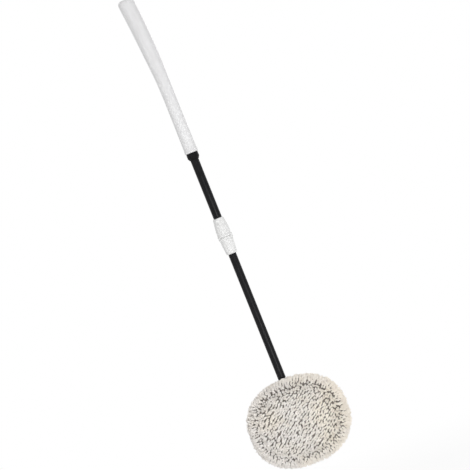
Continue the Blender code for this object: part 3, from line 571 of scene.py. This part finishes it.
def soft_between(before, first, second, after, share):
    """A value on a smooth curve through first and second."""
    slope_in = (second - before) / 2
    slope_out = (after - first) / 2
    square, cube = share * share, share * share * share
    return (first * (2 * cube - 3 * square + 1) + slope_in * (cube - 2 * square + share)
            + second * (3 * square - 2 * cube) + slope_out * (cube - square))


def grip_rings():
    """The grip's rings from its solid, with more between the far ones."""
    levels = {}
    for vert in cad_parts["grip"].data.vertices:
        levels.setdefault(round(vert.co.z, 4), []).append(vert.co)
    tube_low, tube_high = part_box("upper_tube")
    bore = (tube_high.x - tube_low.x) / 2 + SEAT_GAP * 2
    coarse = []
    for height in sorted(levels, reverse=True):
        across = [point.y for point in levels[height]]
        along = [point.x for point in levels[height]]
        radius = (max(across) - min(across)) / 2
        if radius > bore:
            coarse.append((height, (max(along) + min(along)) / 2, radius))
    fine = [coarse[0]]
    for k in range(1, len(coarse)):
        first, second = coarse[k - 1], coarse[k]
        before, after = coarse[max(0, k - 2)], coarse[min(len(coarse) - 1, k + 1)]
        cuts = max(1, int((first[0] - second[0]) / GRIP_RING_STEP))
        for j in range(1, cuts + 1):
            share = j / cuts
            ring = [first[i] + (second[i] - first[i]) * share for i in range(3)]
            if cuts > 2:
                ring[1:] = [soft_between(before[i], first[i], second[i], after[i], share)
                            for i in (1, 2)]
            fine.append(tuple(ring))
    return fine


def make_grip(finish):
    """The grip's moulding, with its bore from the foot to just past the tube's plug."""
    rings = grip_rings()
    tube_low, tube_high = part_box("upper_tube")
    bore = (tube_high.x - tube_low.x) / 2 + SEAT_GAP
    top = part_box("upper_tube_plug")[1].z + SEAT_GAP
    foot = rings[-1][0]
    bm = lofted([*rings, (foot, 0, bore), (top, 0, bore)], ROUND_SIDES)
    for vert in bm.verts:
        if math.hypot(vert.co.x, vert.co.y) > bore * GRIP_OUTSIDE:
            vert.co.y += noise.noise(vert.co * GRIP_WAVE_SCALE) * GRIP_WAVE_DEPTH
    shown("soft_grip", bm, finish, "handle", ["grip"])


def standing(node, axis):
    """The placing of an upright piece along an axis, through the middle of a node's box."""
    low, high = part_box(node)
    turn = Vector((0, 0, 1)).rotation_difference(Vector(axis)).to_matrix().to_4x4()
    return Matrix.Translation((low + high) / 2) @ turn


def make_turned(name, node, finish, body):
    """A turned piece on the pole's axis, spun again with more sides."""
    shown(name, rounded(spun(turned_outline(node)), EDGE_ROUND), finish, body, [node])


def make_cross_turned(name, node, finish, body):
    """A turned fastener that lies across the pole, spun again with more sides."""
    stand = standing(node, (1, 0, 0))
    outline = turned_outline(node, stand=stand)
    bm = rounded(spun(outline, FASTENER_SIDES), FASTENER_ROUND, crisp=True)
    bmesh.ops.transform(bm, matrix=stand, verts=bm.verts)
    shown(name, bm, finish, body, [node])


def headed(radius, dome_height, head, shank, length, tip, sinks):
    """An upright fastener, head up, with the drive's recess pressed into its dome."""
    dome = [(dome_height * (1 - share ** DOME_POWER) ** (1 / DOME_POWER) - dome_height,
             0, share * radius) for share in DOME_SHARES]
    bm = lofted([*dome, (-head, 0, radius), (-head, 0, shank), (tip - length, 0, shank),
                 (-length, 0, shank - tip)], FASTENER_SIDES)
    for vert in bm.verts:
        if vert.co.z > -dome_height:
            vert.co.z -= sinks(vert.co.x / radius, vert.co.y / radius)
    return bm


def cross_sink(x, y):
    """A cross recess's depth at a place on a head of radius one."""
    far, near = max(abs(x), abs(y)), min(abs(x), abs(y))
    inside = far < CROSS_REACH and near < CROSS_HALF_WIDTH
    return CROSS_DEPTH * (1 - far) if inside else 0.0


def socket_sink(x, y):
    """A six-sided socket's depth at a place on a head of radius one."""
    sides = (0, math.pi / 3, -math.pi / 3)
    reach = max(abs(x * math.cos(a) + y * math.sin(a)) for a in sides)
    return SOCKET_DEPTH if reach < SOCKET_REACH else 0.0


def make_screw(node, finish):
    """A bracket screw with a cross recess, pointing to the pile."""
    low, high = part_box(node)
    radius = (high.x - low.x) / 2
    bm = headed(radius, SCREW_HEAD, SCREW_HEAD, radius * SCREW_SHANK_SHARE, high.y - low.y,
                radius * SCREW_TIP_SHARE, cross_sink)
    stand = standing(node, (0, 1, 0))
    stand.translation.y = high.y
    bmesh.ops.transform(bm, matrix=stand, verts=bm.verts)
    bm = rounded(bm, FASTENER_ROUND / 2)
    shown(node + "_cross", bm, finish, "head", [node])


def make_bolt(finish):
    """The pivot bolt with a six-sided socket, its head at -X."""
    low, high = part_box("pivot_bolt")
    washer_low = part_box("pivot_washer_left")[0].x
    radius = (high.z - low.z) / 2
    head = washer_low - SEAT_GAP - low.x
    bm = headed(radius, head * BOLT_DOME_SHARE, head, radius * BOLT_SHANK_SHARE,
                high.x - low.x, radius * BOLT_TIP_SHARE, socket_sink)
    stand = standing("pivot_bolt", (-1, 0, 0))
    stand.translation.x = low.x
    bmesh.ops.transform(bm, matrix=stand, verts=bm.verts)
    bm = rounded(bm, FASTENER_ROUND / 2)
    shown("pivot_bolt_socket_head", bm, finish, "head", ["pivot_bolt"])


def lock_half(node):
    """A half of the twist lock, spun from a section between two of its solid's flutes."""
    outline = turned_outline(node, FLUTE_HEADING, FLUTE_STEP)
    return rounded(spun(outline, FLUTES * FLUTE_SIDES), EDGE_ROUND)


def make_lock(finish):
    """The twist lock's two white halves with their flutes."""
    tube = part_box("upper_tube")[1].x
    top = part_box("lock_body")[1].z
    nut_low, nut_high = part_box("lock_nut")
    upper = fluted(lock_half("lock_body"), nut_high.z + UPPER_FLUTE_FOOT,
                   top - UPPER_FLUTE_TOP, tube * UPPER_FLUTE_OUTSIDE)
    shown("lock_upper_half", upper, finish, "handle", ["lock_body"])
    nut = fluted(lock_half("lock_nut"), nut_low.z + NUT_FLUTE_FOOT,
                 nut_high.z - NUT_FLUTE_TOP, tube * NUT_FLUTE_OUTSIDE)
    shown("lock_turning_half", nut, finish, "lock_ring", ["lock_nut"])


def make_refined(name, node, finish, body, width):
    """A moulding or fastener as its solid has it, with its edges rounded."""
    bm = merged_copy(node)
    bmesh.ops.dissolve_limit(bm, angle_limit=FLAT_ANGLE, verts=bm.verts, edges=bm.edges)
    bmesh.ops.triangulate(bm, faces=[f for f in bm.faces if len(f.verts) > 4])
    shown(name, rounded(bm, width, crisp=True), finish, body, [node])


# Head's measures from its solids
foam_low, foam_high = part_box("foam_pad")
HALF_WIDTH = (foam_high.x - foam_low.x) / 2 + CLOTH_THICK + SEAT_GAP
HALF_HEIGHT = (foam_high.z - foam_low.z) / 2 + CLOTH_THICK + SEAT_GAP
HEAD_MIDDLE = (foam_high.z + foam_low.z) / 2
PLATE_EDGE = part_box("back_plate")[1].x
ROLL_CENTRE = foam_high.y + SEAT_GAP + PLATE_THICK - ROLL_SETBACK
FACE_INSET = ROLL_WIDTH * (1 - math.cos(SEAM_ANGLE)) + SEAT_GAP
FACE_EDGE = ROLL_CENTRE - ROLL_DEPTH * math.sin(SEAM_ANGLE)
FACE_HALF_WIDTH = HALF_WIDTH - FACE_INSET
FACE_HALF_HEIGHT = HALF_HEIGHT - FACE_INSET
ROOTS_HALF_WIDTH = FACE_HALF_WIDTH - SEAM_CLEAR
ROOTS_HALF_HEIGHT = FACE_HALF_HEIGHT - SEAM_CLEAR

# Directions on the head: out of its face, and the way that its yarn is combed
OUT_OF_FACE = Vector((0, -1, 0))
COMBED_WAY = Vector((math.cos(FACE_HEADING), 0, math.sin(FACE_HEADING)))


def roll_point(angle, sunk=0.0):
    """Inset and depth on the band's round, zero at its widest and growing towards the face."""
    inset = ROLL_WIDTH - (ROLL_WIDTH - sunk) * math.cos(angle)
    return inset, ROLL_CENTRE - (ROLL_DEPTH - sunk) * math.sin(angle)


def crown(share):
    """Depth of the domed face at a share of the way from its middle to its seam."""
    return FACE_EDGE - FACE_CROWN * (1 - share * share)


def oval_reach(across, up):
    """How far the head's squarish oval lies out, beside a plain one, in a direction."""
    return (abs(across) ** OVAL_POWER + abs(up) ** OVAL_POWER) ** (-1 / OVAL_POWER)


def oval_point(turn, inset):
    """X and Z, from the head's middle, on its oval drawn in by the inset."""
    across, up = math.cos(turn), math.sin(turn)
    reach = oval_reach(across, up)
    return (HALF_WIDTH - inset) * across * reach, (HALF_HEIGHT - inset) * up * reach


def oval_away(x, z, wide, high):
    """The direction in the oval's plane that leads straight out of it."""
    bend = OVAL_POWER - 1
    slope_x = math.copysign(abs(x / wide) ** bend, x) / wide
    slope_z = math.copysign(abs(z / high) ** bend, z) / high
    return Vector((slope_x, 0, slope_z)).normalized()


def along_oval(away):
    """The direction along the oval where another one leads out of it."""
    return Vector((-away.z, 0, away.x))


def way_round(wide, high):
    """The length round a plain oval, closely."""
    return math.tau * math.sqrt((wide ** 2 + high ** 2) / 2)


def oval_spun(outline):
    """Turns a closed outline of insets and depths round the head's oval."""
    bm = bmesh.new()
    corners = [bm.verts.new((HALF_WIDTH - inset, depth, 0)) for inset, depth in outline]
    edges = [bm.edges.new(pair) for pair in zip(corners, corners[1:] + corners[:1])]
    bmesh.ops.spin(bm, geom=corners + edges, cent=(0, 0, 0), axis=(0, 1, 0), angle=math.tau,
                   steps=OVAL_STEPS, use_merge=True)
    bmesh.ops.remove_doubles(bm, verts=bm.verts, dist=MERGE_WITHIN)
    narrower = HALF_WIDTH - HALF_HEIGHT
    for vert in bm.verts:
        radius = math.hypot(vert.co.x, vert.co.z)
        if radius > narrower:
            reach = oval_reach(vert.co.x / radius, vert.co.z / radius)
            vert.co.x *= reach
            vert.co.z *= reach * (radius - narrower) / radius
        else:
            vert.co.z = 0
    bmesh.ops.remove_doubles(bm, verts=bm.verts, dist=MERGE_WITHIN)
    bmesh.ops.translate(bm, verts=bm.verts, vec=(0, 0, HEAD_MIDDLE))
    bmesh.ops.recalc_face_normals(bm, faces=bm.faces)
    return bm


def face_outline(sunk):
    """Insets and depths from the seam to the middle line."""
    shares = [k / FACE_RINGS for k in range(FACE_RINGS + 1)]
    return [(FACE_INSET + FACE_HALF_HEIGHT * s, crown(1 - s) + sunk) for s in shares]


def roll_outline(sunk=0.0):
    """Insets and depths over the roll, from its back to the seam."""
    arc = SEAM_ANGLE - BACK_ANGLE
    return [roll_point(BACK_ANGLE + arc * k / ROLL_RINGS, sunk) for k in range(ROLL_RINGS + 1)]


def make_foam(finish):
    """The foam under the cover, flat at the plate."""
    sunk = CLOTH_THICK + SEAT_GAP
    back = foam_high.y
    side = [(inset, depth) for inset, depth in roll_outline(sunk) if depth < back]
    outline = [(HALF_WIDTH - FACE_HALF_WIDTH * FOAM_BACK_REACH, back),
               (HALF_WIDTH - PLATE_EDGE, back), *side, *face_outline(sunk)]
    foam = shown("foam_core", oval_spun(outline), finish, "head", ["foam_pad"])


def make_cloths(finish):
    """The cover's face and side band, which carry the tufts."""
    outline = face_outline(0)
    under = [(inset, depth + CLOTH_THICK) for inset, depth in reversed(outline)]
    face = oval_spun([*outline, *under])
    face_cloth = shown("face_cloth", face, finish, "head", ["face_pile"])
    band = oval_spun([*roll_outline(), *reversed(roll_outline(CLOTH_THICK))])
    band_cloth = shown("band_cloth", band, finish, "head", ["side_pile"])
    around = way_round(HALF_WIDTH, HALF_HEIGHT)


def straight_ply(length, reach):
    """A ply that stands upright, with UV round and along it."""
    rings = [(length * reach * share, 0, PLY_R * size) for share, size in PLY_FORM]
    ply = lofted(rings, PLY_SIDES)
    uv = ply.loops.layers.uv.new("UVMap")
    for face in ply.faces:
        first = None
        for loop in face.loops:
            turn = math.atan2(loop.vert.co.y, loop.vert.co.x) / math.tau
            first = turn if first is None else first
            loop[uv].uv = (turn - round(turn - first), loop.vert.co.z / length)
    return ply


def tuft_meshes():
    """Tufts of twisted plies in a few bends and lengths, upright on their roots."""
    made = []
    for k in range(TUFT_KINDS):
        length = TUFT_LENGTH * (TUFT_SHORTEST + TUFT_LENGTH_STEP * k)
        bend = length * TUFT_BEND_STEP * (1 + k % TUFT_BENDS)
        bm = bmesh.new()
        for number in range(PLY_COUNT):
            start = math.tau * (number / PLY_COUNT + TUFT_TURN_STEP * k)
            ply = straight_ply(length, chance.uniform(*PLY_REACH))
            splay = chance.uniform(*PLY_SPLAY)
            for vert in ply.verts:
                share = vert.co.z / length
                turn = start + PLY_TURN * share
                out = PLY_R * (PLY_APART_SHARE + splay * share ** 3)
                vert.co.x += out * math.cos(turn) + bend * share * share
                vert.co.y += out * math.sin(turn)
            scrap = bpy.data.meshes.new("ply")
            ply.to_mesh(scrap)
            ply.free()
            bm.from_mesh(scrap)
            bpy.data.meshes.remove(scrap)
        mesh = bpy.data.meshes.new("tuft")
        bm.to_mesh(mesh)
        bm.free()
        made.append(mesh)
    return made


def planted(name, places, finish, replaces):
    """Tufts at (root, heading, bend heading) places as one piece."""
    whole = bmesh.new()
    for number, (root, heading, towards) in enumerate(places):
        tuft = chance.choice(TUFTS).copy()
        for corner in tuft.uv_layers[0].data:
            corner.uv.x += number * TUFT_SPACING_UV
        side = heading.cross(towards).normalized()
        bent = side.cross(heading).normalized()
        turn = Matrix((bent, side, heading)).transposed().to_4x4()
        size = Matrix.Scale(chance.uniform(*TUFT_SIZE), 4)
        tuft.transform(Matrix.Translation(root - heading * TUFT_SINK) @ turn @ size)
        whole.from_mesh(tuft)
        bpy.data.meshes.remove(tuft)
    shown(name, whole, finish, "head", replaces)


def face_places():
    """Rows of roots leaning one way, turning outwards near the seam, and the seam's own."""
    across = along_oval(COMBED_WAY)
    reach = int(FACE_HALF_WIDTH / FACE_TUFT_ACROSS) + 1
    places = []
    for row in range(-reach, reach + 1):
        for column in range(-reach, reach + 1):
            jitter = Vector((chance.gauss(0, 1), 0, chance.gauss(0, 1))) * FACE_JITTER
            flat = (across * FACE_TUFT_ACROSS * row
                    + COMBED_WAY * FACE_TUFT_ALONG * (column + 0.5 * (row % 2)) + jitter)
            share = 1 / oval_reach(flat.x / ROOTS_HALF_WIDTH, flat.z / ROOTS_HALF_HEIGHT)
            if share > 1:
                continue
            root = Vector((flat.x, crown(share), flat.z + HEAD_MIDDLE))
            away = oval_away(flat.x, flat.z, ROOTS_HALF_WIDTH, ROOTS_HALF_HEIGHT)
            edge = max(0.0, (share - EDGE_START) / (1 - EDGE_START))
            spot = Vector((flat.x * SWIRL_SCALE, flat.z * SWIRL_SCALE, SWIRL_SEED))
            swirl = noise.noise(spot) * SWIRL + chance.gauss(0, SWIRL_SPREAD)
            lean = COMBED_WAY * (1 - edge * EDGE_LESS_LEAN) + away * edge * EDGE_OUTWARDS
            along = Matrix.Rotation(swirl, 3, "Y") @ lean
            tilt = FACE_LEAN + chance.gauss(0, FACE_LEAN_SPREAD)
            heading = (OUT_OF_FACE * math.cos(tilt) + along * math.sin(tilt)).normalized()
            places.append((root, heading, along + COMBED_WAY * FACE_BEND_ON))
    return places + seam_places()


def seam_places():
    """Roots all along the face panel's seam, standing up so that they close over it."""
    count = int(way_round(ROOTS_HALF_WIDTH, ROOTS_HALF_HEIGHT) / SEAM_TUFT_ACROSS)
    places = []
    for k in range(count):
        turn = math.tau * (k + chance.gauss(0, SEAM_SPACING_SPREAD)) / count
        x, z = oval_point(turn, FACE_INSET + SEAM_CLEAR)
        root = Vector((x, FACE_EDGE, z + HEAD_MIDDLE))
        away = oval_away(x, z, ROOTS_HALF_WIDTH, ROOTS_HALF_HEIGHT)
        sideways = along_oval(away) * chance.gauss(0, SEAM_SIDE_SPREAD)
        slant = COMBED_WAY * SEAM_LEAN + away * chance.uniform(*SEAM_FAN)
        heading = (OUT_OF_FACE + slant + sideways).normalized()
        places.append((root, heading, (away + sideways).normalized()))
    return places


def band_places():
    """Rings of roots over the roll, fanning outwards."""
    places = []
    for row in range(BAND_ROWS):
        angle = BAND_START + BAND_ARC * row / (BAND_ROWS - 1)
        inset, depth = roll_point(angle)
        wide, high = HALF_WIDTH - inset, HALF_HEIGHT - inset
        count = int(way_round(wide, high) / BAND_TUFT_ACROSS)
        for k in range(count):
            place = k + 0.5 * (row % 2) + chance.gauss(0, BAND_SPACING_SPREAD)
            here = angle + chance.gauss(0, BAND_ANGLE_SPREAD)
            x, z = oval_point(math.tau * place / count, inset)
            root = Vector((x, depth, z + HEAD_MIDDLE))
            away = oval_away(x, z, wide, high)
            outward = (away * math.cos(here) + OUT_OF_FACE * math.sin(here)).normalized()
            sideways = along_oval(away) * chance.gauss(0, BAND_SIDE_SPREAD)
            past = here - COMB_PEAK
            fall = COMB_FALL_FRONT if past > 0 else COMB_FALL_BACK
            comb = COMB * max(0.0, math.cos(past * fall))
            comb += chance.gauss(0, COMB_SPREAD) * max(0.0, math.sin(here))
            one_way = COMBED_WAY * away.dot(COMBED_WAY) * COMB_ONE_WAY
            heading = (outward + (away + one_way - away * COMB_LESS_OUT) * comb + sideways)
            back = Vector((0, BAND_BEND_BACK * math.cos(here), 0))
            places.append((root, heading.normalized(), (away + sideways + back).normalized()))
    return places


def hem_ring(inset, depth, radius, turns):
    """Insets and depths on a round about the hem's middle."""
    return [(inset + radius * math.cos(a), depth + radius * math.sin(a)) for a in turns]


def make_skirt(finish, elastic):
    """The cover's back cloth, gathered towards its hem, and the elastic inside it."""
    low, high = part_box("cover_skirt")
    elastic_low, elastic_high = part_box("hem_elastic")
    hem_depth = (elastic_low.y + elastic_high.y) / 2
    elastic_r = (elastic_high.y - elastic_low.y) / 2
    hem_inset = HALF_WIDTH - elastic_high.x + elastic_r
    hem_r = high.y - hem_depth
    rim = HALF_WIDTH - high.x
    lie = hem_depth - hem_r
    turns = [-math.pi / 2 + HEM_ARC * k / HEM_STEPS for k in range(HEM_STEPS + 1)]
    outer = hem_ring(hem_inset, hem_depth, hem_r, turns)
    inner = hem_ring(hem_inset, hem_depth, hem_r - SKIRT_WALL, reversed(turns))
    flats = [rim + (hem_inset - rim) * k / SKIRT_RINGS for k in range(SKIRT_RINGS)]
    under = [(inset, lie) for inset in flats[1:]]
    over = [(inset, lie + SKIRT_WALL) for inset in reversed(flats)]
    bm = oval_spun([(rim, low.y), (rim + SKIRT_WALL, low.y), (rim + SKIRT_WALL, lie),
                    *under, *outer, *inner, *over])
    for vert in bm.verts:
        up = vert.co.z - HEAD_MIDDLE
        turn = math.atan2(up / HALF_HEIGHT, vert.co.x / HALF_WIDTH)
        reach = math.hypot(vert.co.x, up * HALF_WIDTH / HALF_HEIGHT)
        share = min(1.0, max(0.0, (HALF_WIDTH - rim - reach) / (hem_inset - rim)))
        drift = noise.noise(Vector((turn * FOLD_DRIFT_SCALE, 0, FOLD_SEED))) * FOLD_DRIFT
        fold = math.sin(turn * SKIRT_FOLDS + drift)
        if vert.co.y > lie - SEAT_GAP:
            vert.co.y += (0.5 + 0.5 * fold) * share * SKIRT_FOLD
    skirt = shown("skirt_cloth", bm, finish, "head", ["cover_skirt"])
    around = way_round(HALF_WIDTH, HALF_HEIGHT)
    full = [math.tau * k / ELASTIC_SIDES for k in range(ELASTIC_SIDES)]
    cord = oval_spun(hem_ring(hem_inset, hem_depth, elastic_r, full))
    shown("hem_cord", cord, elastic, "head", ["hem_elastic"])


def area_lamp(name, place, target, size, power):
    """A round lamp that looks at the target."""
    lamp = bpy.data.lights.new(name, "AREA")
    lamp.shape = "DISK"
    lamp.size = size
    lamp.energy = power
    made = bpy.data.objects.new(name, lamp)
    made.location = place
    made.rotation_euler = (Vector(target) - Vector(place)).to_track_quat("-Z", "Y").to_euler()
    bpy.context.scene.collection.objects.link(made)


def make_floor(height):
    """A wide floor below the part."""
    floor = bmesh.new()
    bmesh.ops.create_grid(floor, x_segments=1, y_segments=1, size=FLOOR_HALF_SIDE)
    mesh = bpy.data.meshes.new("floor")
    floor.to_mesh(mesh)
    floor.free()
    mesh.materials.append(floor_finish("pale_floor").material)
    plane = bpy.data.objects.new("floor", mesh)
    plane.location.z = height
    bpy.context.scene.collection.objects.link(plane)


def make_room():
    """A soft room light that the camera and mirrors see as plain white."""
    world = bpy.data.worlds.new("studio")
    bpy.context.scene.world = world
    world.use_nodes = True
    tree = world.node_tree
    tree.nodes.clear()
    path = tree.nodes.new("ShaderNodeLightPath")
    mix = tree.nodes.new("ShaderNodeMixShader")
    out = tree.nodes.new("ShaderNodeOutputWorld")
    seen = path.outputs["Is Camera Ray"]
    for ray in ("Is Glossy Ray", "Is Transmission Ray"):
        add = tree.nodes.new("ShaderNodeMath")
        tree.links.new(seen, add.inputs[0])
        tree.links.new(path.outputs[ray], add.inputs[1])
        seen = add.outputs[0]
    tree.links.new(seen, mix.inputs[0])
    for number, strength in ((1, ROOM_LEVEL), (2, 1.0)):
        light = tree.nodes.new("ShaderNodeBackground")
        light.inputs["Color"].default_value = (1, 1, 1, 1)
        light.inputs["Strength"].default_value = strength
        tree.links.new(light.outputs[0], mix.inputs[number])
    tree.links.new(mix.outputs[0], out.inputs["Surface"])


def make_stage():
    """Floor, room and lamps."""
    low, high = cad_box
    make_floor(low.z - FLOOR_DROP)
    make_room()
    middle = (0, 0, (low.z + high.z) / 2)
    area_lamp("key", (1.6, -2.2, 1.5), middle, size=2.0, power=19)
    area_lamp("fill", (-1.6, -2.3, 0.4), middle, size=2.2, power=11)
    area_lamp("low_front", (0.3, -1.2, -1.02), (0, 0, low.z), size=0.6, power=5.2)
    area_lamp("back", (0.6, 2.4, 0.8), middle, size=2.2, power=24)


def make_camera():
    """The photograph's view: level, square to the pile, and rolled to the pole's tilt."""
    right = Vector((math.cos(POLE_TILT), 0, -math.sin(POLE_TILT)))
    up = Vector((math.sin(POLE_TILT), 0, math.cos(POLE_TILT)))
    back = right.cross(up)
    across, down = [(PHOTO_WIDTH_PX / 2 - end) * PIXEL_SIZE for end in GRIP_END_PX]
    lens = bpy.data.cameras.new("camera")
    lens.sensor_width = SENSOR_WIDTH
    lens.lens = CAMERA_DISTANCE * SENSOR_WIDTH / (PHOTO_WIDTH_PX * PIXEL_SIZE)
    camera = bpy.data.objects.new("camera", lens)
    turn = Matrix((right, up, back)).transposed().to_4x4()
    place = right * across - up * down + back * CAMERA_DISTANCE
    camera.matrix_world = Matrix.Translation(place) @ turn
    bpy.context.scene.collection.objects.link(camera)
    bpy.context.scene.camera = camera


make_camera()
make_stage()
bpy.context.scene.view_settings.view_transform = "Standard"

white_grip = soft_white_grip()
white_lock = hard_white_lock()
black = black_moulding()
coat = black_tube_coat()
grey = grey_moulding()
zinc = zinc_plate()
yarn = cotton_yarn()
# The backing's dark brown is painted shade: it stands for the shadow deep between the tufts, where
# the cloth shows.
backing = woven_cloth("pile_backing_painted_shade", (0.23, 0.205, 0.175), (0.38, 0.35, 0.305))
calico = woven_cloth("calico", (0.50, 0.47, 0.42), (0.66, 0.63, 0.58))

make_grip(white_grip)
make_turned("grip_foot_ring", "grip_ring", black, "handle")
make_turned("upper_pole_tube", "upper_tube", coat, "handle")
make_lock(white_lock)
make_refined("lower_pole_tube", "lower_tube", coat, "lower_pole", width=0.0001)
make_turned("grip_end_plug", "upper_tube_plug", grey, "handle")
make_turned("guide_end_plug", "guide_plug", grey, "lower_pole")
make_refined("grip_collet", "lock_collet", grey, "handle", width=0.0002)
make_refined("pole_socket", "head_socket", black, "lower_pole", width=0.0004)
make_cross_turned("socket_pin", "socket_rivet", zinc, "lower_pole")
make_refined("clevis", "head_bracket", black, "head", width=0.0005)
make_refined("head_plate", "back_plate", black, "head", width=0.0004)
make_refined("pivot_hex_nut", "pivot_nut", zinc, "head", width=FASTENER_ROUND)
make_bolt(zinc)
for side in ("left", "right"):
    make_cross_turned("washer_" + side, "pivot_washer_" + side, zinc, "head")
for number in range(1, 5):
    make_screw(f"bracket_screw_{number}", zinc)

make_foam(open_foam())
make_cloths(backing)
make_skirt(calico, elastic_cover())
TUFTS = tuft_meshes()
planted("face_tufts", face_places(), yarn, ["face_pile"])
planted("band_tufts", band_places(), yarn, ["side_pile"])
